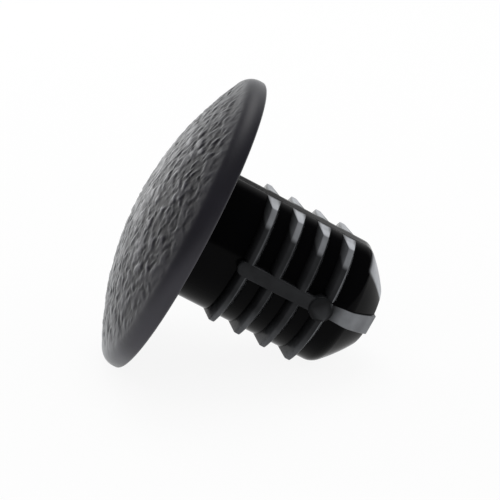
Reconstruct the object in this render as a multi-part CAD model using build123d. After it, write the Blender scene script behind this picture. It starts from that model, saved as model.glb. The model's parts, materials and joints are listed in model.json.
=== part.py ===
from build123d import *
import os
from math import asin, atan2, cos, degrees, hypot, pi, radians, sin, sqrt, tan

# Seal clip: a one-piece moulded nylon plug. A shallow domed head covers the hole
# and seals on its rim, and a stub shank with four ring barbs grips the panel.
# All sizes are in millimetres.

# Head
head_diameter = 18.0
dome_radius = 18.2
rim_round = 0.93
seat_level = 0.32
seat_width = 1.0
seat_edge_bevel = 0.14
recess_depth = 1.25

# Shank, measured from the widest circle of the rim
core_diameter = 7.64
root_bevel = 0.3
root_depth = 0.6
shoulder_level = 10.0
shoulder_round = 0.9
nose_level = 11.75
nose_diameter = 3.8
nose_bulge = 0.08
nose_edge_bevel = 0.1
land_depth = 0.05

# Ring barbs, with their cut ends drafted in degrees
barb_count = 4
barb_height = 0.73
first_barb = 3.2
barb_pitch = 1.62
barb_back_run = 0.27
barb_crest_width = 0.3
barb_lead_run = 0.32
barb_end_draft = 3.0

# Side ribs, turned in degrees from square to the lands, and the gate pad on one
rib_turn = 3.5
rib_width = 0.8
rib_height = 0.76
rib_overrun = 0.12
rib_edge_bevel = 0.07
pad_diameter = 1.4
pad_rise = 0.12

# Guide strips that run on from the ribs over the nose
strip_rise = 0.12
strip_end_width = 1.2

# Worked out from the sizes above
head_radius = head_diameter / 2
core_radius = core_diameter / 2
nose_radius = nose_diameter / 2
barb_radius = core_radius + barb_height
land_radius = core_radius - land_depth
land_half_width = sqrt(core_radius**2 - land_radius**2)
dome_centre = sqrt((dome_radius - rim_round) ** 2 - (head_radius - rim_round) ** 2)
crown_level = dome_centre - dome_radius
recess_level = seat_level - recess_depth
barb_base_width = barb_back_run + barb_crest_width + barb_lead_run
last_barb = first_barb + (barb_count - 1) * barb_pitch
rib_start = first_barb - rib_overrun
rib_end = last_barb + barb_base_width
rib_radius = core_radius + rib_height
pad_level = rib_end - pad_diameter / 2


def head_section():
    """Half section of the domed head, right of the axis, with the shank upwards."""
    edge_centre = head_radius - rim_round
    reach = dome_radius / (dome_radius - rim_round)
    dome_edge = (edge_centre * reach, dome_centre * (1 - reach))
    half_angle = asin(edge_centre / (dome_radius - rim_round)) / 2
    dome_middle = (dome_radius * sin(half_angle), dome_centre - dome_radius * cos(half_angle))
    edge_angle = half_angle - pi / 4
    edge_middle = (edge_centre + rim_round * cos(edge_angle), rim_round * sin(edge_angle))
    with BuildSketch() as section:
        with BuildLine():
            ThreePointArc((0, crown_level), dome_middle, dome_edge)
            ThreePointArc(dome_edge, edge_middle, (head_radius, 0))
            Polyline(
                (head_radius, 0),
                (head_radius, seat_level),
                (head_radius - seat_width, seat_level),
                (core_radius, recess_level),
                (0, recess_level),
                (0, crown_level),
            )
        make_face()
        seat_edge = section.vertices().sort_by_distance((head_radius, seat_level))[0]
        chamfer(seat_edge, seat_edge_bevel)
    return section.sketch


def shank_section(grow=0.0):
    """Half section of the plain shank with its side moved out by grow."""
    core = core_radius + grow
    nose = nose_radius + grow
    foot = recess_level - root_depth
    corner = Vector(core, shoulder_level)
    tip = Vector(nose, nose_level)
    with BuildSketch() as section:
        with BuildLine():
            Polyline((0, foot), (core, foot), (core, shoulder_level))
            SagittaArc(corner, tip, -nose_bulge)
            Polyline((nose, nose_level), (0, nose_level), (0, foot))
        make_face()
        shoulder = section.vertices().sort_by_distance((core, shoulder_level))[0]
        fillet(shoulder, shoulder_round)
        edge = section.vertices().sort_by_distance((nose, nose_level))[0]
        chamfer(edge, nose_edge_bevel)
    return section.sketch


def barb_section(level):
    """Half section of one ring barb: a narrow crest between two steep flanks."""
    inside = core_radius - barb_height
    crest_start = level + barb_back_run
    crest_end = crest_start + barb_crest_width
    with BuildSketch() as section:
        with BuildLine():
            Polyline(
                (inside, level),
                (core_radius, level),
                (barb_radius, crest_start),
                (barb_radius, crest_end),
                (core_radius, crest_end + barb_lead_run),
                (inside, crest_end + barb_lead_run),
                close=True,
            )
        make_face()
    return section.sketch


def barb_plan():
    """What a ring barb keeps in plan: cut at both lands, with a draft beyond them."""
    run = barb_radius - land_half_width
    tip = land_radius - run * tan(radians(barb_end_draft))
    with BuildSketch() as plan:
        with BuildLine():
            Polyline(
                (land_radius, 0),
                (land_radius, land_half_width),
                (tip, barb_radius),
                (-tip, barb_radius),
                (-land_radius, land_half_width),
                (-land_radius, 0),
                close=True,
            )
        make_face()
        mirror(about=Plane.XZ)
    return plan.sketch


def turned(section):
    """Turn a half section about the clip's own axis, which stands along Z."""
    return revolve(Plane.XZ * section, Axis.Z, 360)


def across_x(section, depth):
    """Extrude a full side outline, seen along X, by depth to each side."""
    full = section + mirror(section, Plane.YZ)
    return extrude(Plane.YZ * full, depth, both=True)


def across_y(section, depth):
    """Extrude a full side outline, seen along Y, by depth to each side."""
    full = section + mirror(section, Plane.YZ)
    return extrude(Plane.XZ * full, depth, both=True)


def plain_body():
    """Head and plain shank in one turned form, with a bevel at the neck."""
    section = head_section() + shank_section()
    neck = section.vertices().sort_by_distance((core_radius, recess_level))[0]
    return turned(chamfer(neck, root_bevel))


def barbs():
    """All the ring barbs, at one pitch up the shank."""
    kept = extrude(Pos(0, 0, first_barb) * barb_plan(), rib_end - first_barb)
    levels = [first_barb + i * barb_pitch for i in range(barb_count)]
    return [turned(barb_section(level)) & kept for level in levels]


def land_cutter():
    """What lies outside the two flat lands, which follow the shank from seat to nose."""
    size = 2 * head_radius
    above_seat = Pos(0, 0, seat_level) * Box(
        size, size, nose_level, align=(Align.CENTER, Align.CENTER, Align.MIN)
    )
    return above_seat - across_y(shank_section(-land_depth), size)


def rib(side):
    """One lengthwise rib across the barbs, with round ends. Side is +1 or -1 along Y."""
    length = rib_end - rib_start
    outline = Pos(0, (rib_start + rib_end) / 2) * Rot(0, 0, 90) * SlotOverall(length, rib_width)
    bar = extrude(Plane.XZ * outline, -side * rib_radius)
    top = bar.faces().sort_by(Axis.Y)[-1 if side > 0 else 0]
    return chamfer(top.edges(), rib_edge_bevel)


def gate_pad():
    """Round pad over the tip end of the near rib, where the mould was filled."""
    outline = Pos(0, pad_level) * Circle(pad_diameter / 2)
    disc = extrude(Plane.XZ * outline, rib_radius + pad_rise)
    top = disc.faces().sort_by(Axis.Y)[0]
    return chamfer(top.edges(), rib_edge_bevel)


def guide_strip():
    """Low strip down both sides of the nose and across its end."""
    crossing = nose_level + strip_rise
    raised = across_x(shank_section(strip_rise), head_radius)
    raised = raised + Pos(0, 0, nose_level) * Box(
        rib_width, nose_diameter, strip_rise, align=(Align.CENTER, Align.CENTER, Align.MIN)
    )
    with BuildSketch() as plan:
        with BuildLine():
            Polyline(
                (-rib_width / 2, pad_level),
                (rib_width / 2, pad_level),
                (strip_end_width / 2, crossing),
                (-strip_end_width / 2, crossing),
                close=True,
            )
        make_face()
    return raised & extrude(Plane.XZ * plan.sketch, head_radius, both=True)


def lying(clip):
    """Lay the clip down on its rim and on the land at its shoulder, crown to -X.

    In the side view the floor runs through the rim's lower corner and is tangent
    to the arc of the shoulder.
    """
    nose_run = nose_level - shoulder_level
    nose_slope = atan2(core_radius - nose_radius, nose_run)
    corner_back = shoulder_round * tan(nose_slope / 2)
    rim_point = (head_radius, seat_level - seat_edge_bevel)
    shoulder_point = (land_radius - shoulder_round, shoulder_level - corner_back)
    rise = rim_point[0] - shoulder_point[0]
    run = shoulder_point[1] - rim_point[1]
    lean = atan2(rise, run) - asin(shoulder_round / hypot(rise, run))
    leaned = Rot(0, 90 + degrees(lean), 0) * clip
    box = leaned.bounding_box()
    return Pos(-box.center().X, -box.center().Y, -box.min.Z) * leaned


def seal_clip():
    clip = plain_body()
    for ring in barbs():
        clip = clip + ring
    clip = clip - land_cutter()
    for raised in (rib(1), rib(-1), gate_pad(), guide_strip()):
        clip = clip + Rot(0, 0, -rib_turn) * raised
    return lying(clip)


os.makedirs("parts", exist_ok=True)
clip = seal_clip()
export_step(clip, "parts/seal_clip.step")
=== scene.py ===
import json
from math import acos, asin, atan2, cos, fmod, hypot, pi, radians, sin, sqrt, tan

import bmesh
import bpy
from bpy.props import FloatProperty, FloatVectorProperty, IntProperty, PointerProperty
from mathutils import Matrix, Vector

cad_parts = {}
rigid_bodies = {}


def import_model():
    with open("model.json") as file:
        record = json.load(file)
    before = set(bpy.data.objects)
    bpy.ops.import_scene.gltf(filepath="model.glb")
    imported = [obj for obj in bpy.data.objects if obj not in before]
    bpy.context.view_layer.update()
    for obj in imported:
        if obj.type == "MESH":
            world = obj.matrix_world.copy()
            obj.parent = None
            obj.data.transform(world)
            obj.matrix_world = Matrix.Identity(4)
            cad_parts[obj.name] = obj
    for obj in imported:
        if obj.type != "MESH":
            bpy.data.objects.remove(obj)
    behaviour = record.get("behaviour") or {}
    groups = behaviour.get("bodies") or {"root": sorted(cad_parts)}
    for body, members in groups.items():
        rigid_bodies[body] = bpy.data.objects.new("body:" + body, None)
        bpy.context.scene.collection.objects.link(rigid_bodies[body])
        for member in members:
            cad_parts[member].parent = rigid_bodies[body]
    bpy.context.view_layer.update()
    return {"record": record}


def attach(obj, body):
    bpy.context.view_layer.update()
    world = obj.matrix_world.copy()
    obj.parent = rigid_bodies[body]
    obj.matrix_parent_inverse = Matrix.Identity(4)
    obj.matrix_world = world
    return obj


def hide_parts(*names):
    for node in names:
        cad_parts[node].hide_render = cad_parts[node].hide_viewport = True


bl_info = {
    "name": "Seal clip",
    "version": (1, 0, 0),
    "blender": (4, 5, 0),
    "location": "View3D > Sidebar > Seal clip",
    "description": "Builds a moulded push-in clip with a grained dome, ring barbs and a pale stage",
    "category": "Add Mesh",
}

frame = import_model()
MM = 0.001
PIECE = "seal_clip_moulding"
NODE = "seal_clip"
NYLON_IOR = 1.53
HARD_EDGE = radians(28)
WHITE = (1.0, 1.0, 1.0, 1.0)

# Kinds of node that are used again and again, and the setting for a smooth range
MATH = "ShaderNodeMath"
VECTOR_MATH = "ShaderNodeVectorMath"
RANGE = "ShaderNodeMapRange"
NOISE = "ShaderNodeTexNoise"
MIX = "ShaderNodeMix"
SMOOTH = {"interpolation_type": "SMOOTHSTEP"}


def from_hex(code):
    """Linear RGBA of an sRGB colour written as six hex digits."""
    channels = [int(code[i : i + 2], 16) / 255 for i in (0, 2, 4)]
    linear = [c / 12.92 if c <= 0.04045 else ((c + 0.055) / 1.055) ** 2.4 for c in channels]
    return (*linear, 1.0)


def length(name, description, size_mm):
    """A length property whose default is given in millimetres."""
    return FloatProperty(
        name=name, description=description, default=size_mm * MM, unit="LENGTH", precision=5
    )


def rotation(name, description, degrees):
    """An angle property whose default is given in degrees."""
    return FloatProperty(
        name=name, description=description, default=radians(degrees), unit="ROTATION"
    )


def share(name, description, default):
    """A property between 0 and 1."""
    return FloatProperty(
        name=name, description=description, default=default, subtype="FACTOR", min=0.0, max=1.0
    )


def power(name, description, watts):
    """A lamp's power as a property."""
    return FloatProperty(name=name, description=description, default=watts, unit="POWER")


def colour(name, description, code):
    """A colour property whose default is given as an sRGB hex value."""
    return FloatVectorProperty(
        name=name,
        description=description,
        default=from_hex(code),
        size=4,
        subtype="COLOR",
        min=0.0,
        max=1.0,
    )


# Sizes, shares and colours that a user would change


class ClipHeadSizes(bpy.types.PropertyGroup):
    diameter: length("Diameter", "Widest circle of the head", 18.0)
    dome_radius: length("Dome radius", "Radius of the crown's curve", 18.2)
    rim_round: length("Rim round", "Radius that turns the crown into the rim", 0.93)
    seat_level: length("Seat level", "Height of the seat over the widest circle", 0.32)
    seat_width: length("Seat width", "Width of the ring that seals on the panel", 1.0)
    seat_edge_round: length("Seat edge round", "Round of the seat's outer edge", 0.16)
    recess_depth: length("Recess depth", "Depth of the hollow under the head", 1.25)
    grain_spacing: length("Grain spacing", "Distance between two pebbles of the grain", 0.8)
    grain_depth: length("Grain depth", "Depth of the creases between the pebbles", 0.07)
    grain_edge: length("Grain edge", "Radius at which the grain has faded away", 9.0)
    mesh_step: length("Mesh step", "Distance between two vertices on the crown", 0.08)


class ClipShankSizes(bpy.types.PropertyGroup):
    core_diameter: length("Core diameter", "Plain round core of the shank", 7.64)
    root_round: length("Root round", "Fillet between recess and core", 0.35)
    shoulder_level: length("Shoulder level", "Where the core turns into the nose", 10.0)
    shoulder_round: length("Shoulder round", "Radius of the shoulder", 0.9)
    nose_level: length("Nose level", "Flat end of the nose", 11.75)
    nose_diameter: length("Nose diameter", "Width of the flat end", 3.8)
    nose_bulge: length("Nose bulge", "How far the nose's side bows out", 0.08)
    nose_edge_round: length("Nose edge round", "Round of the end's edge", 0.12)
    land_depth: length("Land depth", "How far the two lands cut into the core", 0.05)
    barb_count: IntProperty(
        name="Barbs", description="Number of ring barbs", default=4, min=1, max=12
    )
    barb_height: length("Barb height", "How far a barb stands out of the core", 0.73)
    first_barb: length("First barb", "Level of the barb next to the head", 3.2)
    barb_pitch: length("Barb pitch", "Distance from barb to barb", 1.62)
    barb_back_run: length("Barb back run", "Length of a barb's flank towards the head", 0.27)
    barb_crest_width: length("Barb crest width", "Flat top of a barb", 0.3)
    barb_lead_run: length("Barb lead run", "Length of a barb's flank towards the nose", 0.32)
    barb_end_draft: rotation("Barb end draft", "Draft of the barbs' cut ends", 3.0)
    barb_edge_round: length("Barb edge round", "Round of a barb's two crest edges", 0.1)
    rib_width: length("Rib width", "Width of the two side ribs", 0.8)
    rib_turn: rotation("Rib turn", "Turn of the ribs from square to the lands", 3.5)
    rib_height: length("Rib height", "How far a rib stands out of the core", 0.76)
    rib_overrun: length("Rib overrun", "How far a rib starts before the first barb", 0.12)
    edge_round: length("Edge round", "Round of the ribs' and the pad's edges", 0.09)
    pad_diameter: length("Pad diameter", "Round pad at the end of the near rib", 1.4)
    pad_rise: length("Pad rise", "How far the pad stands over its rib", 0.12)
    strip_rise: length("Strip rise", "Height of the guide strips over the nose", 0.12)
    strip_end_width: length("Strip end width", "Width of a guide strip at the nose's end", 1.2)


class ClipFinish(bpy.types.PropertyGroup):
    crown: colour("Crown", "Grained nylon on the pebbles", "262432")
    # Painted shade: the crease colour makes the creases between the pebbles darker
    crease: colour("Crease", "Grained nylon in the creases", "0d0b12")
    bloom: colour("Bloom", "Grey bloom over the grained nylon", "e3e5e6")
    shank: colour("Shank", "Smooth moulded nylon", "070708")
    # Pale colour of scuffed crests, tips, tails and strips, and of the painted highlights on the
    # cut ends, crest edges and nose flanks and the painted floor light on the rim's lower end
    pale_wear_and_painted_light: colour("Whitened", "Nylon where an edge was sheared or rubbed", "bec1c6")


# Shares of the pale scuffs and of the painted highlights and painted floor light
class ClipWearAndPaintedLight(bpy.types.PropertyGroup):
    crest: share("Crests", "Whitening along the barbs' crests", 0.05)
    tip: share("Lower tips", "Whitening at the lower ends of the crests", 0.38)
    tail: share("Upper tails", "Whitening at the upper ends of the crests", 0.44)
    # Painted highlight: the crest edges towards the nose, brightest on the last barb
    edge: share("Crest edges", "Whitening of the crests' edges towards the nose", 0.2)
    last_edge: share("Last crest edge", "The same edge on the barb next to the nose", 0.5)
    pad: share("Gate pad", "What the gate pad keeps of the crests' whitening", 0.4)
    strip: share("Guide strips", "Whitening of the strips over the nose", 0.43)
    # Painted light from the floor on the rim's lower end, with a scuff where the rim rests
    rim: share("Rim", "Whitening of the rim's lower end", 0.26)


class ClipStage(bpy.types.PropertyGroup):
    azimuth: rotation("Azimuth", "Camera's turn about Z", -2.87)
    elevation: rotation("Elevation", "Camera's tilt down", 16.47)
    roll: rotation("Roll", "Camera's turn about its view", -0.55)
    distance: length("Distance", "From the camera to its aim", 94.6)
    aim_level: length("Aim level", "Level on the clip's axis that the camera aims at", 3.8)
    aim_right: length("Aim right", "Aim's shift to the right of the axis", 0.356)
    aim_up: length("Aim up", "Aim's shift above the axis", 0.165)
    lens: FloatProperty(
        name="Lens", description="Focal length on a 36 mm sensor", default=119.9, unit="CAMERA"
    )
    back_power: power("Back lamp", "Power of the soft box behind the clip", 0.13)
    top_power: power("Top lamp", "Power of the soft box high over the clip", 0.2)
    floor: colour("Floor", "Pale floor", "f4f4f4")


GROUPS = {
    "clip_head": ClipHeadSizes,
    "clip_shank": ClipShankSizes,
    "clip_finish": ClipFinish,
    "clip_wear": ClipWearAndPaintedLight,
    "clip_stage": ClipStage,
}


# Outlines: points are pairs of radius and level along the clip's axis


def round_corner(points, index, radius, steps=5):
    """The outline with one of its corners replaced by an arc."""
    corner = Vector(points[index])
    back = (Vector(points[index - 1]) - corner).normalized()
    ahead = (Vector(points[index + 1]) - corner).normalized()
    half = acos(max(-1, min(1, back.dot(ahead)))) / 2
    centre = corner + (back + ahead).normalized() * (radius / sin(half))
    start = corner + back * (radius / tan(half)) - centre
    turn = pi - 2 * half
    sense = 1 if back.cross(ahead) > 0 else -1
    arc = []
    for i in range(steps + 1):
        a = -sense * turn * i / steps
        arc.append(tuple(centre + Matrix.Rotation(a, 2) @ start))
    return points[:index] + arc + points[index + 1 :]


def bowed(start, end, bulge, steps=8):
    """Points along a shallow arc between two points, without its start."""
    start, end = Vector(start), Vector(end)
    run = end - start
    out = Vector((run.y, -run.x)).normalized()
    points = []
    for i in range(1, steps + 1):
        t = i / steps
        points.append(tuple(start + run * t + out * (4 * bulge * t * (1 - t))))
    return points


def shank_outline(shank, foot, grow=0.0):
    """Outline of the plain shank from a foot to the middle of its end, moved out by grow."""
    core = shank.core_diameter / 2 + grow
    nose = shank.nose_diameter / 2 + grow
    points = [(core, foot), (core, shank.shoulder_level)]
    points += bowed(points[-1], (nose, shank.nose_level), shank.nose_bulge)
    points.append((0.0, shank.nose_level))
    points = round_corner(points, len(points) - 2, shank.nose_edge_round)
    return round_corner(points, 1, shank.shoulder_round, steps=10)


def radius_at(outline, level):
    """Radius of a shank outline at a level, or at its end where the level is past it."""
    for (r0, z0), (r1, z1) in zip(outline, outline[1:]):
        if z0 <= level <= z1 and z1 > z0:
            return r0 + (r1 - r0) * (level - z0) / (z1 - z0)
    return outline[0][0] if level < outline[0][1] else outline[-2][0]


def barbs_end(shank):
    """Level at which the last barb's flank runs out."""
    base = shank.barb_back_run + shank.barb_crest_width + shank.barb_lead_run
    return shank.first_barb + (shank.barb_count - 1) * shank.barb_pitch + base


# Meshes: rings and loops of points, joined into closed forms


def add_object(name, data):
    """An object with this data, in the scene."""
    item = bpy.data.objects.new(name, data)
    bpy.context.scene.collection.objects.link(item)
    return item


def new_object(name, points, faces):
    """A mesh object in the scene, with its normals pointing outwards."""
    mesh = bpy.data.meshes.new(name)
    mesh.from_pydata(points, [], faces)
    work = bmesh.new()
    work.from_mesh(mesh)
    bmesh.ops.recalc_face_normals(work, faces=work.faces)
    work.to_mesh(mesh)
    work.free()
    return add_object(name, mesh)


def stacked(name, loops, closed=False):
    """A mesh object through loops of equally many points, with its ends joined or capped."""
    count = len(loops[0])
    rings = [range(count * k, count * (k + 1)) for k in range(len(loops))]
    faces = []
    for a, b in zip(rings, rings[1:] + rings[: 1 if closed else 0]):
        faces += [(a[i], a[(i + 1) % count], b[(i + 1) % count], b[i]) for i in range(count)]
    if not closed:
        faces += [tuple(rings[0]), tuple(rings[-1])]
    return new_object(name, [point for loop in loops for point in loop], faces)


class Lathe:
    """A closed mesh that grows ring by ring along the clip's axis."""

    same_angle = 1e-6

    def __init__(self):
        self.points = []
        self.faces = []
        self.first = []
        self.ring = []

    def add_ring(self, loop, level):
        """Put down a loop of (x, y) points at one level, and join it to the last ring."""
        start = len(self.points)
        self.points += [(x, y, level) for x, y in loop]
        ring = [(start + i, atan2(y, x) % (2 * pi)) for i, (x, y) in enumerate(loop)]
        if self.ring:
            self.join(self.ring, ring)
        else:
            self.first = ring
        self.ring = ring

    def join(self, low, high):
        """Zip two rings of any two counts together by their angles."""
        i, j = 0, 0
        while i < len(low) or j < len(high):
            a, b = low[i % len(low)], high[j % len(high)]
            next_low, next_high = low[(i + 1) % len(low)], high[(j + 1) % len(high)]
            low_turn = next_low[1] + (2 * pi if i + 1 >= len(low) else 0)
            high_turn = next_high[1] + (2 * pi if j + 1 >= len(high) else 0)
            both = i < len(low) and j < len(high)
            if both and abs(low_turn - high_turn) < self.same_angle:
                self.faces.append((a[0], next_low[0], next_high[0], b[0]))
                i, j = i + 1, j + 1
            elif j >= len(high) or (both and low_turn < high_turn):
                self.faces.append((a[0], next_low[0], b[0]))
                i += 1
            else:
                self.faces.append((a[0], next_high[0], b[0]))
                j += 1

    def cap(self, level, first=False):
        """Close the first or the last ring with a fan about the axis."""
        middle = len(self.points)
        self.points.append((0.0, 0.0, level))
        ring = self.first if first else self.ring
        pairs = zip(ring, ring[1:] + ring[:1])
        self.faces += [(b[0], a[0], middle) if first else (a[0], b[0], middle) for a, b in pairs]


def circle(radius, count):
    """Evenly spaced points of a circle."""
    angles = [2 * pi * i / count for i in range(count)]
    return [(radius * cos(a), radius * sin(a)) for a in angles]


def double_d(radius, half_height, land_angle, land_steps=6, side_steps=112):
    """A circle cut off at x = +half_height and x = -half_height, starting at angle 0."""
    cut = radius > half_height
    angle = acos(half_height / radius) if cut else land_angle
    reach = radius * sin(angle)
    half = []
    for i in range(land_steps // 2):
        y = reach * i / (land_steps // 2)
        half.append((half_height, y) if cut else (sqrt(radius**2 - y**2), y))
    for i in range(side_steps):
        a = angle + (pi - 2 * angle) * i / side_steps
        half.append((radius * cos(a), radius * sin(a)))
    for i in range(land_steps // 2):
        y = reach * (1 - i / (land_steps // 2))
        half.append((-half_height, y) if cut else (-sqrt(radius**2 - y**2), y))
    return half + [(-x, -y) for x, y in half]


# Nodes


def add_node(tree, kind, inputs=(), **settings):
    """Add a node with its settings, and link or set its inputs, given by name or in order."""
    node = tree.nodes.new(kind)
    for key, value in settings.items():
        setattr(node, key, value)
    for key, value in inputs.items() if isinstance(inputs, dict) else enumerate(inputs):
        if isinstance(value, bpy.types.NodeSocket):
            tree.links.new(value, node.inputs[key])
        else:
            node.inputs[key].default_value = value
    return node


def new_tree(name, inputs):
    """A geometry node tree with a geometry input, named inputs and a geometry output."""
    tree = bpy.data.node_groups.new(name, "GeometryNodeTree")
    tree.interface.new_socket("Geometry", in_out="INPUT", socket_type="NodeSocketGeometry")
    for label, kind in inputs.items():
        tree.interface.new_socket(label, in_out="INPUT", socket_type=kind)
    tree.interface.new_socket("Geometry", in_out="OUTPUT", socket_type="NodeSocketGeometry")
    return tree, tree.nodes.new("NodeGroupInput"), tree.nodes.new("NodeGroupOutput")


def shader_tree(name):
    """The node tree of a new material, and its shader."""
    material = bpy.data.materials.new(name)
    material.use_nodes = True
    return material.node_tree, material.node_tree.nodes["Principled BSDF"]


def plain_mesh(item):
    """A new mesh that holds an object's shape with its modifiers done."""
    bpy.context.view_layer.update()
    graph = bpy.context.evaluated_depsgraph_get()
    done = item.evaluated_get(graph)
    return bpy.data.meshes.new_from_object(done, preserve_all_data_layers=True, depsgraph=graph)


def run_tree(item, tree, values):
    """Run a node tree on an object, and keep the result as its plain mesh."""
    modifier = item.modifiers.new(tree.name, "NODES")
    modifier.node_group = tree
    sockets = {s.name: s.identifier for s in tree.interface.items_tree if s.in_out == "INPUT"}
    for label, value in values.items():
        modifier[sockets[label]] = value
    mesh = plain_mesh(item)
    item.modifiers.remove(modifier)
    item.data = mesh


# Materials


def grained_nylon(finish):
    """Black nylon moulded on an etched steel face.

    The etch scatters the light, so the pebbles carry a soft grey bloom that gets stronger
    towards grazing light, and the creases between them stay duller. The creases and the band
    before the rim are painted darker as painted shade, and the lower end of the crown and rim
    is painted paler as painted light from the floor, with a scuff.
    """
    bloom_patch = 2.38 * MM
    # The etch's real grit is about 0.02 mm, too fine to show, so it is drawn coarser
    etch_grit = 0.111 * MM
    etch_depth = 0.01 * MM
    tree, shader = shader_tree("grained_nylon")
    place = add_node(tree, "ShaderNodeTexCoord").outputs["Object"]
    clear_of_painted_shade = add_node(tree, "ShaderNodeAttribute", attribute_name="grain").outputs["Fac"]
    rubbed_and_painted_light = add_node(tree, "ShaderNodeAttribute", attribute_name="pale_wear_and_painted_light").outputs["Fac"]
    patches = {"Vector": place, "Scale": 1 / bloom_patch, "Detail": 3.0}
    bloom = add_node(tree, NOISE, patches).outputs["Fac"]

    # Painted shade: the creases and the band before the rim mix towards the crease colour
    uneven = add_node(tree, RANGE, (bloom, 0.3, 0.7, 0.75, 1.0), **SMOOTH)
    lit = add_node(tree, MATH, (clear_of_painted_shade, uneven.outputs[0]), operation="MULTIPLY")
    shades = {0: lit.outputs[0], 6: finish.crease, 7: finish.crown}
    base = add_node(tree, MIX, shades, data_type="RGBA").outputs[2]
    # Painted light from the floor: the lower end mixes towards the pale colour, with a scuff
    uneven = add_node(tree, RANGE, (bloom, 0.3, 0.6, 0.6, 1.0), **SMOOTH)
    worn_and_painted_light = add_node(tree, MATH, (rubbed_and_painted_light, uneven.outputs[0]), operation="MULTIPLY")
    shades = {0: worn_and_painted_light.outputs[0], 6: base, 7: finish.pale_wear_and_painted_light}
    base = add_node(tree, MIX, shades, data_type="RGBA").outputs[2]
    tree.links.new(base, shader.inputs["Base Color"])
    dull = add_node(tree, RANGE, (clear_of_painted_shade, 0.5, 0.8, 0.55, 0.38), **SMOOTH)
    tree.links.new(dull.outputs[0], shader.inputs["Roughness"])

    shader.inputs["Sheen Weight"].default_value = 0.78
    shader.inputs["Sheen Roughness"].default_value = 0.31
    shader.inputs["Sheen Tint"].default_value = finish.bloom
    shader.inputs["IOR"].default_value = NYLON_IOR
    grit = {"Vector": place, "Scale": 1 / etch_grit, "Detail": 2.0}
    etch = add_node(tree, NOISE, grit).outputs["Fac"]
    links = {"Strength": 0.25, "Distance": etch_depth, "Height": etch}
    bump = add_node(tree, "ShaderNodeBump", links).outputs["Normal"]
    tree.links.new(bump, shader.inputs["Normal"])


def smooth_nylon(finish):
    """Black nylon moulded on polished steel.

    It is nearly black with a deep, slightly wavy gloss, and turns a dull grey where it was
    scuffed on the crests, their tips and tails and the guide strips, because fine cracks there
    scatter the light. The pale grey on the sheared cut ends, the crest edges towards the nose
    and the nose's flanks is a painted highlight.
    """
    rubbed_patch = 1.11 * MM
    mould_wave = 1.43 * MM
    wave_depth = 0.02 * MM
    tree, shader = shader_tree("smooth_nylon")
    place = add_node(tree, "ShaderNodeTexCoord").outputs["Object"]
    rubbed_and_painted_light = add_node(tree, "ShaderNodeAttribute", attribute_name="pale_wear_and_painted_light").outputs["Fac"]
    patches = {"Vector": place, "Scale": 1 / rubbed_patch, "Detail": 4.0}
    cloud = add_node(tree, NOISE, patches).outputs["Fac"]

    # Scuffs and painted highlights mix towards the pale colour
    uneven = add_node(tree, RANGE, (cloud, 0.25, 0.7, 0.7, 1.0), **SMOOTH)
    worn_and_painted_light = add_node(tree, MATH, (rubbed_and_painted_light, uneven.outputs[0]), operation="MULTIPLY")
    worn_and_painted_light = worn_and_painted_light.outputs[0]
    shades = {0: worn_and_painted_light, 6: finish.shank, 7: finish.pale_wear_and_painted_light}
    base = add_node(tree, MIX, shades, data_type="RGBA").outputs[2]
    tree.links.new(base, shader.inputs["Base Color"])
    dull = add_node(tree, RANGE, (worn_and_painted_light, 0.0, 0.6, 0.14, 0.3), **SMOOTH)
    tree.links.new(dull.outputs[0], shader.inputs["Roughness"])

    shader.inputs["Specular IOR Level"].default_value = 0.03
    shader.inputs["IOR"].default_value = NYLON_IOR
    waves = {"Vector": place, "Scale": 1 / mould_wave, "Detail": 3.0}
    wave = add_node(tree, NOISE, waves).outputs["Fac"]
    links = {"Strength": 0.15, "Distance": wave_depth, "Height": wave}
    bump = add_node(tree, "ShaderNodeBump", links).outputs["Normal"]
    tree.links.new(bump, shader.inputs["Normal"])


# The clip's forms, made upright about Z with the head at the bottom


def land_angle(shank):
    """Half the angle that a land takes from the plain core."""
    core = shank.core_diameter / 2
    return acos((core - shank.land_depth) / core)


def add_crown(lathe, head):
    """The dome and the rim's round: ring k of the crown has six times k points."""
    radius, rim = head.dome_radius, head.rim_round
    edge = head.diameter / 2 - rim
    centre = sqrt((radius - rim) ** 2 - edge**2)
    turn = asin(edge / (radius - rim))
    dome_run = radius * turn
    full_run = dome_run + rim * (pi / 2 - turn)
    rings = round(full_run / head.mesh_step)
    for k in range(1, rings + 1):
        run = full_run * k / rings
        if run < dome_run:
            r, level = radius * sin(run / radius), centre - radius * cos(run / radius)
        else:
            a = turn + (run - dome_run) / rim
            r, level = edge + rim * sin(a), -rim * cos(a)
        lathe.add_ring(circle(r, 6 * k), level)
    lathe.cap(centre - radius, first=True)


def plain_body(head, shank):
    """Head and plain shank with its two lands, as one closed form."""
    longest_face = 0.45 * MM
    smallest_ring = 0.2 * MM
    lathe = Lathe()
    add_crown(lathe, head)
    rim, seat = head.diameter / 2, head.seat_level
    foot = seat - head.recess_depth
    outline = [(rim, 0.0), (rim, seat), (rim - head.seat_width, seat)]
    outline += shank_outline(shank, foot)
    outline = round_corner(outline, 3, shank.root_round)
    outline = round_corner(outline, 2, head.seat_edge_round / 2, steps=3)
    outline = round_corner(outline, 1, head.seat_edge_round)
    lands = shank_outline(shank, foot, grow=-shank.land_depth)
    angle = land_angle(shank)
    for (r0, z0), (r1, z1) in zip(outline, outline[1:]):
        steps = 1 + int(hypot(r1 - r0, z1 - z0) / longest_face)
        for i in range(1, steps + 1):
            r, z = r0 + (r1 - r0) * i / steps, z0 + (z1 - z0) * i / steps
            if r < smallest_ring:
                break
            cut = radius_at(lands, z) if z > seat and r < shank.core_diameter else r
            lathe.add_ring(double_d(r, min(cut, r), angle), z)
    lathe.cap(shank.nose_level)
    return new_object("plain_body", lathe.points, lathe.faces)


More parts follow.
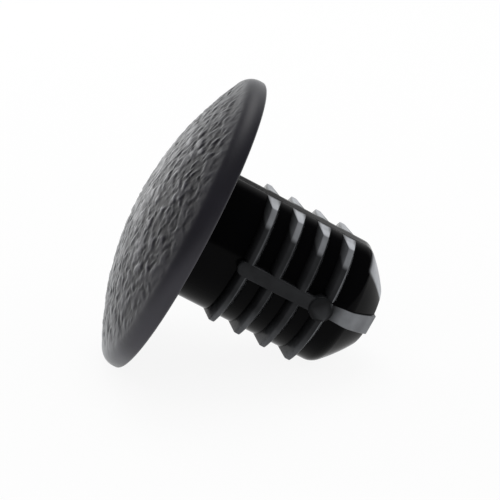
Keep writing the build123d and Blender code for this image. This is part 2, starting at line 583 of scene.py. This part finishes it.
def barb_loop(radius, shank, land_steps=3, end_steps=6, side_steps=50):
    """Loop of a ring barb at one radius, cut at both lands and with a draft beyond them."""
    shortest_end = 0.02
    land = shank.core_diameter / 2 - shank.land_depth
    corner, draft = land_angle(shank), shank.barb_end_draft
    plane = land * (1 + tan(corner) * tan(draft)) * cos(draft)
    meet = max(draft + acos(min(1, plane / radius)), corner + shortest_end)
    angles = [corner * i / land_steps for i in range(land_steps)]
    angles += [corner + (meet - corner) * i / end_steps for i in range(end_steps)]
    angles += [meet + (pi / 2 - meet) * i / side_steps for i in range(side_steps + 1)]
    quarter = []
    for a in angles:
        cut = land / cos(a) if a < corner else plane / cos(a - draft)
        reach = min(radius, cut)
        quarter.append((reach * cos(a), reach * sin(a)))
    half = quarter + [(-x, y) for x, y in reversed(quarter[1:-1])]
    return half + [(-x, -y) for x, y in half]


def one_barb(shank):
    """One ring barb at level 0, cut off along both lands."""
    core = shank.core_diameter / 2
    crest, inside = core + shank.barb_height, core - shank.barb_height
    back = shank.barb_back_run
    top = back + shank.barb_crest_width
    high = top + shank.barb_lead_run
    outline = [(core, 0.0), (crest, back), (crest, top), (core, high)]
    outline = round_corner(outline, 2, shank.barb_edge_round, steps=4)
    outline = round_corner(outline, 1, shank.barb_edge_round, steps=4)
    loops = []
    for r, z in [(inside, 0.0)] + outline + [(inside, high)]:
        loops.append([(x, y, z) for x, y in barb_loop(r, shank)])
    return stacked("one_barb", loops, closed=True)


def barb_tree():
    """Instances of one barb along the axis, at one pitch."""
    inputs = {
        "Barb": "NodeSocketObject",
        "Count": "NodeSocketInt",
        "First": "NodeSocketFloat",
        "Pitch": "NodeSocketFloat",
    }
    tree, entry, leave = new_tree("Ring barbs", inputs)
    given = entry.outputs
    start = add_node(tree, "ShaderNodeCombineXYZ", {"Z": given["First"]}).outputs[0]
    step = add_node(tree, "ShaderNodeCombineXYZ", {"Z": given["Pitch"]}).outputs[0]
    links = {"Count": given["Count"], "Start Location": start, "Offset": step}
    line = add_node(tree, "GeometryNodeMeshLine", links, mode="OFFSET").outputs["Mesh"]
    barb = add_node(tree, "GeometryNodeObjectInfo", {"Object": given["Barb"]}).outputs["Geometry"]
    links = {"Points": line, "Instance": barb}
    rings = add_node(tree, "GeometryNodeInstanceOnPoints", links).outputs[0]
    real = add_node(tree, "GeometryNodeRealizeInstances", {"Geometry": rings}).outputs[0]
    links = {"Geometry": real, "Material": bpy.data.materials["smooth_nylon"]}
    named = add_node(tree, "GeometryNodeSetMaterial", links).outputs[0]
    tree.links.new(named, leave.inputs[0])
    return tree


def slot_outline(span, width, steps=24):
    """Outline of a bar with round ends, or of a disc, as a function of its inset."""
    half = (span - width) / 2
    count = steps + 1 if half > 0 else steps

    def outline(inset):
        radius = width / 2 - inset
        angles = [pi * i / steps for i in range(count)]
        end = [(radius * cos(a), half + radius * sin(a)) for a in angles]
        return end + [(-x, -z) for x, z in end]

    return outline


def boss(name, outline, level, side, foot, top, edge_round, steps=4):
    """Stand an outline out along Y, from a foot inside the core to a top with a round edge.

    The outline lies in the XZ plane about a level, and is a function of its inset.
    """
    layers = [(0.0, foot), (0.0, top - edge_round)]
    for i in range(1, steps + 1):
        a = pi / 2 * i / steps
        layers.append((edge_round * (1 - cos(a)), top - edge_round * (1 - sin(a))))
    loops = []
    for inset, reach in layers:
        loops.append([(x, side * reach, level + z) for x, z in outline(inset)])
    return stacked(name, loops)


def guide_strip(shank, pad_level):
    """One low strip up the near side of the nose, across its end and down the far side."""
    end_reach = 0.3 * shank.nose_diameter
    sunk = 0.8
    side = [p for p in shank_outline(shank, pad_level) if p[0] > end_reach]
    path = [Vector((-r, z)) for r, z in side] + [Vector((r, z)) for r, z in reversed(side)]
    middle = Vector((0.0, (pad_level + shank.nose_level) / 2))
    run = shank.nose_level - pad_level
    rise, edge = shank.strip_rise, shank.strip_rise / 3
    sections = []
    for i, here in enumerate(path):
        along = path[min(i + 1, len(path) - 1)] - path[max(i - 1, 0)]
        out = Vector((-along.y, along.x)).normalized()
        part = (here.y - pad_level) / run
        half = (shank.rib_width * (1 - part) + shank.strip_end_width * part) / 2
        inner = middle + (here - middle) * sunk
        low, high = here + out * (rise - edge), here + out * rise
        right = [(half - edge, high), (half, low), (half, inner)]
        left = [(-x, point) for x, point in reversed(right)]
        sections.append([(x, point.x, point.y) for x, point in left + right])
    return stacked("guide_strip", sections)


def united(items, name):
    """Boolean union of closed objects as one plain object."""
    whole = items[0]
    for other in items[1:]:
        modifier = whole.modifiers.new("union", "BOOLEAN")
        modifier.operation = "UNION"
        modifier.solver = "MANIFOLD"
        modifier.object = other
    mesh = plain_mesh(whole)
    mesh.materials.clear()
    for item in items:
        bpy.data.objects.remove(item)
    return add_object(name, mesh)


# Pale scuffs and painted light: where the nylon is paler, from 0 to 1, worked out from the upright
# clip's forms


def smooth_step(value, low, high, at_low=0.0, at_high=1.0):
    """Go smoothly from one value to another between low and high, and hold them beyond."""
    part = max(0.0, min(1.0, (value - low) / (high - low)))
    return at_low + (at_high - at_low) * part**2 * (3 - 2 * part)


class WearAndPaintedLight:
    """Pale scuffs, painted highlights and painted floor light at a point of the clip, with the
    lower side towards +X.
    """

    # How far each mark reaches, or where it starts and ends
    slack = 0.01 * MM
    past_core = 0.03 * MM
    neck = 1.5 * MM
    crest_depth = 0.3 * MM
    edge_width = 0.1 * MM
    last_edge_run = (0.5 * MM, 0.8 * MM)
    tip_start = 1.2 * MM
    tail_run = (0.85 * MM, 1.2 * MM)
    tail_depth = (0.03 * MM, 0.1 * MM)
    pad_start = (0.07 * MM, 0.1 * MM)
    flank_side = (0.76, 0.82)
    flank_start = 0.35 * MM
    rim_run = (0.2 * MM, 3.5 * MM)

    # The crown lies below a level and faces down, and the lip is the rim's outer wall
    lip = 0.3 * MM
    crown_level = -0.2 * MM
    crown_slope = -0.3

    def __init__(self, head, shank, wear_and_light_shares):
        self.shank = shank
        self.wear_and_light_shares = wear_and_light_shares
        self.rim = head.diameter / 2
        self.core = shank.core_diameter / 2
        self.land = self.core - shank.land_depth
        self.crest = self.core + shank.barb_height
        self.first_edge = shank.first_barb + shank.barb_back_run + shank.barb_crest_width
        self.barbs_end = barbs_end(shank)

    def cut_ends(self, x, y, radius):
        """The sheared faces where the barbs stop at the lands, made pale as a painted highlight."""
        plane = self.land - self.slack - abs(y) * tan(self.shank.barb_end_draft)
        return float(abs(x) > plane and radius > self.core + self.past_core)

    def crests(self, x, z, radius):
        """The crests, with lighter lower tips, pale upper tails and a painted highlight along the
        edge to the nose.
        """
        wear_and_light_shares, under = self.wear_and_light_shares, self.crest - radius
        # Painted highlight along the crest's edge towards the nose, strongest on the last barb
        from_edge = abs(fmod(z - self.first_edge, self.shank.barb_pitch))
        edge = smooth_step(from_edge, 0.0, self.edge_width, 1.0, 0.0)
        edge *= smooth_step(self.barbs_end - z, *self.last_edge_run, wear_and_light_shares.last_edge, wear_and_light_shares.edge)
        tip = smooth_step(x, self.tip_start, self.land, wear_and_light_shares.crest, wear_and_light_shares.tip)
        rubbed_and_painted_light = max(tip, edge) * smooth_step(under, 0.0, self.crest_depth, 1.0, 0.0)
        tail = smooth_step(self.land + x, *self.tail_run, wear_and_light_shares.tail, 0.0)
        tail *= smooth_step(under, *self.tail_depth, 1.0, 0.0)
        return max(rubbed_and_painted_light, tail) * smooth_step(-under, *self.pad_start, 1.0, wear_and_light_shares.pad)

    def nose(self, x, y, z, radius):
        """The nose's flanks towards both lands, made pale as a painted highlight, and the guide
        strips.
        """
        shank = self.shank
        flank = smooth_step(abs(x) / max(radius, self.slack), *self.flank_side)
        flank *= smooth_step(z - shank.shoulder_level, 0.0, self.flank_start)
        part = (z - self.barbs_end) / (shank.nose_level - self.barbs_end)
        width = shank.rib_width + (shank.strip_end_width - shank.rib_width) * min(1.0, part)
        off_strip = abs(x - y * tan(shank.rib_turn))
        on_strip = part > 0 and off_strip < width / 2
        return max(flank, self.wear_and_light_shares.strip if on_strip else 0.0)

    def rim_end(self, x, z, radius, slope):
        """The lower end of the crown and of its rim, on which the clip slides and lies, made paler
        as painted light from the floor, with a scuff.
        """
        on_crown = z < self.crown_level and slope < self.crown_slope
        on_lip = z < self.lip and radius > self.rim - self.lip
        if not (on_crown or on_lip):
            return 0.0
        return smooth_step(self.rim - x, *self.rim_run, self.wear_and_light_shares.rim, 0.0)

    def at(self, place, normal):
        """The strongest mark at a place."""
        x, y, z = place
        radius = hypot(x, y)
        if z < self.neck:
            return self.rim_end(x, z, radius, normal.z)
        marks = (
            self.cut_ends(x, y, radius),
            self.crests(x, z, radius),
            self.nose(x, y, z, radius),
        )
        return max(marks)


def mark_wear_and_painted_light(mesh, head, shank, wear_and_light_shares):
    """Keep the pale scuffs and painted light of every vertex as an attribute."""
    marks = WearAndPaintedLight(head, shank, wear_and_light_shares)
    values = [marks.at(vertex.co, vertex.normal) for vertex in mesh.vertices]
    mesh.attributes.new("pale_wear_and_painted_light", "FLOAT", "POINT").data.foreach_set("value", values)


# Grain


def add_pebbles(tree, place, spacing):
    """Fields of how deep the crease is, from 0 to 1, and of how a pebble swells about 0.

    Creases run where two cells meet, and noise bends, frays and closes some of them.
    Scales are per pebble, and reaches are shares of a pebble's width.
    """
    bend, fray, crease_width, closed, swell_height = 0.9, 0.6, 0.5, 0.4, 0.7
    cells = add_node(tree, VECTOR_MATH, (place, spacing), operation="DIVIDE").outputs[0]
    drift = add_node(tree, NOISE, {"Vector": cells, "Scale": 1.1, "Detail": 2.0}).outputs["Color"]
    middle = (0.5, 0.5, 0.5)
    drift = add_node(tree, VECTOR_MATH, (drift, middle), operation="SUBTRACT")
    links = (drift.outputs[0], (bend, bend, bend), cells)
    cells = add_node(tree, VECTOR_MATH, links, operation="MULTIPLY_ADD").outputs[0]

    links = {"Vector": cells, "Scale": 1.0}
    edge = add_node(tree, "ShaderNodeTexVoronoi", links, feature="DISTANCE_TO_EDGE")
    ragged = add_node(tree, NOISE, {"Vector": cells, "Scale": 2.0, "Detail": 1.0}).outputs["Fac"]
    ragged = add_node(tree, MATH, (ragged, fray, -fray / 2), operation="MULTIPLY_ADD").outputs[0]
    edge = add_node(tree, MATH, (edge.outputs["Distance"], ragged), operation="ADD").outputs[0]
    crease = add_node(tree, RANGE, (edge, 0.0, crease_width, 1.0, 0.0), **SMOOTH)
    patch = add_node(tree, NOISE, {"Vector": cells, "Scale": 0.75, "Detail": 1.0}).outputs["Fac"]
    patch = add_node(tree, RANGE, (patch, 0.35, 0.55, closed, 1.0), **SMOOTH)
    links = (crease.outputs[0], patch.outputs[0])
    crease = add_node(tree, MATH, links, operation="MULTIPLY").outputs[0]

    swell = add_node(tree, NOISE, {"Vector": cells, "Scale": 0.5, "Detail": 2.0}).outputs["Fac"]
    links = (swell, swell_height, -swell_height / 2)
    swell = add_node(tree, MATH, links, operation="MULTIPLY_ADD").outputs[0]
    return crease, swell


def grain_tree():
    """Press the grain into the crown, keep the painted shade of its creases and rim as an
    attribute, and set both finishes.
    """
    labels = ("Spacing", "Depth", "Edge", "Head radius")
    tree, entry, leave = new_tree("Grained crown", dict.fromkeys(labels, "NodeSocketFloat"))
    given = entry.outputs
    relief_fade, shade_fade, shade_end, rim_shade = 1.6 * MM, 3.5 * MM, 0.8 * MM, 0.6
    place = add_node(tree, "GeometryNodeInputPosition").outputs[0]
    normal = add_node(tree, "GeometryNodeInputNormal").outputs[0]
    x, y, z = add_node(tree, "ShaderNodeSeparateXYZ", (place,)).outputs
    slope = add_node(tree, "ShaderNodeSeparateXYZ", (normal,)).outputs["Z"]
    flat = add_node(tree, "ShaderNodeCombineXYZ", (x, y)).outputs[0]
    radius = add_node(tree, VECTOR_MATH, (flat,), operation="LENGTH").outputs["Value"]

    # The crown faces away from the shank, and the lip is the outer wall below the seat
    under_rim = add_node(tree, MATH, (z, WearAndPaintedLight.crown_level), operation="LESS_THAN").outputs[0]
    links = (slope, WearAndPaintedLight.crown_slope)
    faces_away = add_node(tree, MATH, links, operation="LESS_THAN").outputs[0]
    crown = add_node(tree, MATH, (under_rim, faces_away), operation="MULTIPLY").outputs[0]
    links = (given["Head radius"], WearAndPaintedLight.lip)
    wall = add_node(tree, MATH, links, operation="SUBTRACT").outputs[0]
    outside = add_node(tree, MATH, (radius, wall), operation="GREATER_THAN").outputs[0]
    under_seat = add_node(tree, MATH, (z, WearAndPaintedLight.lip), operation="LESS_THAN").outputs[0]
    lip = add_node(tree, MATH, (outside, under_seat), operation="MULTIPLY").outputs[0]
    grained = add_node(tree, MATH, (crown, lip), operation="MAXIMUM").outputs[0]

    # The relief runs out before the rim, where the crown is also painted darker as painted shade
    crease, swell = add_pebbles(tree, place, given["Spacing"])
    start = add_node(tree, MATH, (given["Edge"], relief_fade), operation="SUBTRACT").outputs[0]
    inside = add_node(tree, RANGE, (radius, start, given["Edge"], 1.0, 0.0), **SMOOTH).outputs[0]
    mask = add_node(tree, MATH, (inside, crown), operation="MULTIPLY").outputs[0]
    relief = add_node(tree, MATH, (swell, crease), operation="SUBTRACT").outputs[0]
    relief = add_node(tree, MATH, (relief, mask), operation="MULTIPLY").outputs[0]
    rise = add_node(tree, MATH, (relief, given["Depth"]), operation="MULTIPLY").outputs[0]
    offset = add_node(tree, VECTOR_MATH, {0: normal, "Scale": rise}, operation="SCALE").outputs[0]
    # Painted shade: darker in the creases and in the band before the rim
    creased = add_node(tree, MATH, (crease, mask), operation="MULTIPLY").outputs[0]
    clear_of_painted_shade = add_node(tree, MATH, (1.0, creased), operation="SUBTRACT", use_clamp=True)
    start = add_node(tree, MATH, (given["Edge"], shade_fade), operation="SUBTRACT").outputs[0]
    end = add_node(tree, MATH, (given["Edge"], shade_end), operation="SUBTRACT").outputs[0]
    shade = add_node(tree, RANGE, (radius, start, end, 1.0, rim_shade), **SMOOTH).outputs[0]
    clear_of_painted_shade = add_node(tree, MATH, (clear_of_painted_shade.outputs[0], shade), operation="MULTIPLY").outputs[0]

    links = {"Geometry": given["Geometry"], "Name": "grain", "Value": clear_of_painted_shade}
    item = add_node(tree, "GeometryNodeStoreNamedAttribute", links, data_type="FLOAT").outputs[0]
    links = {"Geometry": item, "Offset": offset}
    item = add_node(tree, "GeometryNodeSetPosition", links).outputs[0]
    item = add_node(tree, "GeometryNodeRealizeInstances", {"Geometry": item}).outputs[0]
    for material, where in (("smooth_nylon", True), ("grained_nylon", grained)):
        links = {"Geometry": item, "Selection": where, "Material": bpy.data.materials[material]}
        item = add_node(tree, "GeometryNodeSetMaterial", links).outputs[0]
    tree.links.new(item, leave.inputs[0])
    return tree


# Finishing


def shade_edges(mesh, crown_level, sharp_angle):
    """Smooth faces, with hard edges above the crown where two faces meet sharply."""
    work = bmesh.new()
    work.from_mesh(mesh)
    for face in work.faces:
        face.smooth = True
    for edge in work.edges:
        high = edge.verts[0].co.z > crown_level
        edge.smooth = not (high and edge.calc_face_angle(0.0) > sharp_angle)
    work.to_mesh(mesh)
    work.free()


def clip_axis(head):
    """Middle of the clip's widest circle and its axis to the nose, from the stem mount."""
    mount = next(m for m in frame["record"]["mounts"] if m["name"] == "stem")
    axis = Vector(mount["axis"]).normalized()
    return Vector(mount["pos_m"]) - axis * head.seat_level, axis


def lay_down(mesh, head):
    """Move a mesh from upright to where the frame's stem mount says that the clip lies."""
    middle, axis = clip_axis(head)
    side = Vector((0, 1, 0))
    turn = Matrix((side.cross(axis), side, axis)).transposed().to_4x4()
    mesh.transform(Matrix.Translation(middle) @ turn)


# Stage


def add_floor(stage):
    """A wide pale floor that shows almost white to the camera and keeps the clip's shadow."""
    half = 0.6
    glow_share = 0.9
    corners = [(-half, -half, 0), (half, -half, 0), (half, half, 0), (-half, half, 0)]
    floor = new_object("floor", corners, [(0, 1, 2, 3)])
    tree, shader = shader_tree("pale_floor")
    shader.inputs["Base Color"].default_value = stage.floor
    shader.inputs["Roughness"].default_value = 0.9
    shader.inputs["Specular IOR Level"].default_value = 0.0
    path = add_node(tree, "ShaderNodeLightPath").outputs
    links = (path["Is Camera Ray"], path["Is Glossy Ray"])
    seen = add_node(tree, MATH, links, operation="ADD").outputs[0]
    links = (seen, path["Is Transmission Ray"])
    seen = add_node(tree, MATH, links, operation="ADD", use_clamp=True).outputs[0]
    part = add_node(tree, MATH, (seen, glow_share), operation="MULTIPLY").outputs[0]
    glow = add_node(tree, "ShaderNodeEmission", {"Color": WHITE, "Strength": 1.0}).outputs[0]
    mix = add_node(tree, "ShaderNodeMixShader", (part, shader.outputs[0], glow)).outputs[0]
    tree.links.new(mix, tree.nodes["Material Output"].inputs["Surface"])
    floor.data.materials.append(bpy.data.materials["pale_floor"])


def add_world():
    """A white backdrop for the camera, and a plain grey room for all other light.

    Gloss and glass show white screens behind the clip, in a dark studio: a low wall up to
    just over the horizon, and a panel above it to the right. Their edges are given by how
    far a direction rises, points aside and points behind.
    """
    grey = (0.72, 0.72, 0.72, 1.0)
    world = bpy.data.worlds.new("studio")
    world.use_nodes = True
    tree = world.node_tree
    tree.nodes.clear()
    path = add_node(tree, "ShaderNodeLightPath").outputs
    direction = add_node(tree, "ShaderNodeTexCoord").outputs["Generated"]
    aside, behind, rise = add_node(tree, "ShaderNodeSeparateXYZ", (direction,)).outputs
    wall = add_node(tree, RANGE, (rise, 0.04, 0.08, 1.0, 0.0), **SMOOTH)
    high = add_node(tree, RANGE, (rise, 0.13, 0.19, 0.0, 1.0), **SMOOTH)
    right = add_node(tree, RANGE, (aside, 0.05, 0.2, 0.05, 1.0), **SMOOTH)
    far = add_node(tree, RANGE, (behind, 0.5, 0.97, 0.03, 1.0), **SMOOTH)
    links = (high.outputs[0], right.outputs[0])
    panel = add_node(tree, MATH, links, operation="MULTIPLY").outputs[0]
    screens = add_node(tree, MATH, (wall.outputs[0], panel), operation="MAXIMUM").outputs[0]
    screens = add_node(tree, MATH, (screens, far.outputs[0]), operation="MULTIPLY").outputs[0]

    links = (path["Is Glossy Ray"], path["Is Transmission Ray"])
    shown = add_node(tree, MATH, links, operation="ADD", use_clamp=True).outputs[0]
    room = add_node(tree, MIX, {0: shown, 6: grey, 7: screens}, data_type="RGBA").outputs[2]
    links = {0: path["Is Camera Ray"], 6: room, 7: WHITE}
    view = add_node(tree, MIX, links, data_type="RGBA").outputs[2]
    back = add_node(tree, "ShaderNodeBackground", {"Color": view, "Strength": 1.0}).outputs[0]
    leave = add_node(tree, "ShaderNodeOutputWorld", {"Surface": back})
    leave.is_active_output = True
    bpy.context.scene.world = world


def add_lamps(stage):
    """Two soft boxes: one behind the clip, and one high over it."""
    aim = Vector((0, 0, 8 * MM))
    lamps = (
        ("back_softbox", (-0.12, 0.2, 0.03), 0.14, stage.back_power),
        ("top_softbox", (0.03, 0.12, 0.24), 0.16, stage.top_power),
    )
    for name, place, size, watts in lamps:
        light = bpy.data.lights.new(name, "AREA")
        light.size = size
        light.energy = watts
        lamp = add_object(name, light)
        lamp.location = place
        lamp.rotation_euler = (aim - Vector(place)).to_track_quat("-Z", "Y").to_euler()


def add_camera(stage, head):
    """A camera at the photograph's viewing angle, for a square picture."""
    middle, axis = clip_axis(head)
    az, el = stage.azimuth, stage.elevation
    view = Vector((-sin(az) * cos(el), cos(az) * cos(el), -sin(el)))
    right = Vector((cos(az), sin(az), 0))
    up = right.cross(view)
    aim = middle + axis * stage.aim_level + right * stage.aim_right + up * stage.aim_up
    lens = bpy.data.cameras.new("camera")
    lens.lens = stage.lens
    lens.sensor_width = 36
    lens.clip_start = 0.001
    camera = add_object("camera", lens)
    turn = Matrix((right, up, -view)).transposed() @ Matrix.Rotation(-stage.roll, 3, "Z")
    camera.matrix_world = Matrix.Translation(aim - view * stage.distance) @ turn.to_4x4()
    bpy.context.scene.camera = camera


# Operators


class SEALCLIP_OT_materials(bpy.types.Operator):
    """Make the two finishes of the black nylon"""

    bl_idname = "seal_clip.materials"
    bl_label = "Nylon finishes"

    def execute(self, context):
        grained_nylon(context.scene.clip_finish)
        smooth_nylon(context.scene.clip_finish)
        return {"FINISHED"}


class SEALCLIP_OT_body(bpy.types.Operator):
    """Turn the domed head and the plain shank with its two lands"""

    bl_idname = "seal_clip.body"
    bl_label = "Head and shank"

    def execute(self, context):
        plain_body(context.scene.clip_head, context.scene.clip_shank)
        return {"FINISHED"}


class SEALCLIP_OT_barbs(bpy.types.Operator):
    """Repeat one ring barb along the shank"""

    bl_idname = "seal_clip.barbs"
    bl_label = "Ring barbs"

    def execute(self, context):
        shank = context.scene.clip_shank
        barb = one_barb(shank)
        rings = new_object("ring_barbs", [], [])
        values = {
            "Barb": barb,
            "Count": shank.barb_count,
            "First": shank.first_barb,
            "Pitch": shank.barb_pitch,
        }
        run_tree(rings, barb_tree(), values)
        bpy.data.objects.remove(barb)
        return {"FINISHED"}


class SEALCLIP_OT_ribs(bpy.types.Operator):
    """Make the two side ribs, the pad on the near one and the strips over the nose"""

    bl_idname = "seal_clip.ribs"
    bl_label = "Ribs, pad and strips"

    def execute(self, context):
        shank = context.scene.clip_shank
        core, edge = shank.core_diameter / 2, shank.edge_round
        start, end = shank.first_barb - shank.rib_overrun, barbs_end(shank)
        foot, top = core - shank.barb_height, core + shank.rib_height
        bar = slot_outline(end - start, shank.rib_width)
        raised = []
        for name, side in (("near_rib", -1), ("far_rib", 1)):
            raised.append(boss(name, bar, (start + end) / 2, side, foot, top, edge))
        pad_level, pad_top = end - shank.pad_diameter / 2, top + shank.pad_rise
        disc = slot_outline(shank.pad_diameter, shank.pad_diameter)
        raised.append(boss("gate_pad", disc, pad_level, -1, foot, pad_top, edge))
        raised.append(guide_strip(shank, pad_level))
        for item in raised:
            item.data.transform(Matrix.Rotation(-shank.rib_turn, 4, "Z"))
        return {"FINISHED"}


class SEALCLIP_OT_moulding(bpy.types.Operator):
    """Unite the forms into one moulding, mark its scuffs and painted light, press the grain and lay
    it down
    """

    bl_idname = "seal_clip.moulding"
    bl_label = "One moulding"

    def execute(self, context):
        head, shank = context.scene.clip_head, context.scene.clip_shank
        names = ("plain_body", "ring_barbs", "near_rib", "far_rib", "gate_pad", "guide_strip")
        piece = united([bpy.data.objects[n] for n in names], PIECE)
        mark_wear_and_painted_light(piece.data, head, shank, context.scene.clip_wear)
        values = {
            "Spacing": head.grain_spacing,
            "Depth": head.grain_depth,
            "Edge": head.grain_edge,
            "Head radius": head.diameter / 2,
        }
        run_tree(piece, grain_tree(), values)
        shade_edges(piece.data, WearAndPaintedLight.crown_level / 2, HARD_EDGE)
        lay_down(piece.data, head)
        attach(piece, "root")
        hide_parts(NODE)
        return {"FINISHED"}


class SEALCLIP_OT_stage(bpy.types.Operator):
    """Lay the pale floor, hang the soft lights and set the camera"""

    bl_idname = "seal_clip.stage"
    bl_label = "Stage"

    def execute(self, context):
        stage, head = context.scene.clip_stage, context.scene.clip_head
        add_floor(stage)
        add_world()
        add_lamps(stage)
        add_camera(stage, head)
        context.scene.view_settings.view_transform = "Standard"
        return {"FINISHED"}


OPERATORS = (
    SEALCLIP_OT_materials,
    SEALCLIP_OT_body,
    SEALCLIP_OT_barbs,
    SEALCLIP_OT_ribs,
    SEALCLIP_OT_moulding,
    SEALCLIP_OT_stage,
)


class SEALCLIP_PT_panel(bpy.types.Panel):
    """Sizes, colours and steps of the seal clip"""

    bl_idname = "SEALCLIP_PT_panel"
    bl_label = "Seal clip"
    bl_space_type = "VIEW_3D"
    bl_region_type = "UI"
    bl_category = "Seal clip"

    def draw(self, context):
        for operator in OPERATORS:
            self.layout.operator(operator.bl_idname)
        for key in GROUPS:
            group = getattr(context.scene, key)
            box = self.layout.box()
            for prop in group.__annotations__:
                box.prop(group, prop)


def register():
    for item in (*GROUPS.values(), *OPERATORS, SEALCLIP_PT_panel):
        bpy.utils.register_class(item)
    for key, group in GROUPS.items():
        setattr(bpy.types.Scene, key, PointerProperty(type=group))


def unregister():
    for key in GROUPS:
        delattr(bpy.types.Scene, key)
    for item in reversed((*GROUPS.values(), *OPERATORS, SEALCLIP_PT_panel)):
        bpy.utils.unregister_class(item)


def main():
    """Register the add-on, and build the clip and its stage."""
    register()
    for step in (
        bpy.ops.seal_clip.materials,
        bpy.ops.seal_clip.body,
        bpy.ops.seal_clip.barbs,
        bpy.ops.seal_clip.ribs,
        bpy.ops.seal_clip.moulding,
        bpy.ops.seal_clip.stage,
    ):
        step()


if __name__ == "__main__":
    main()
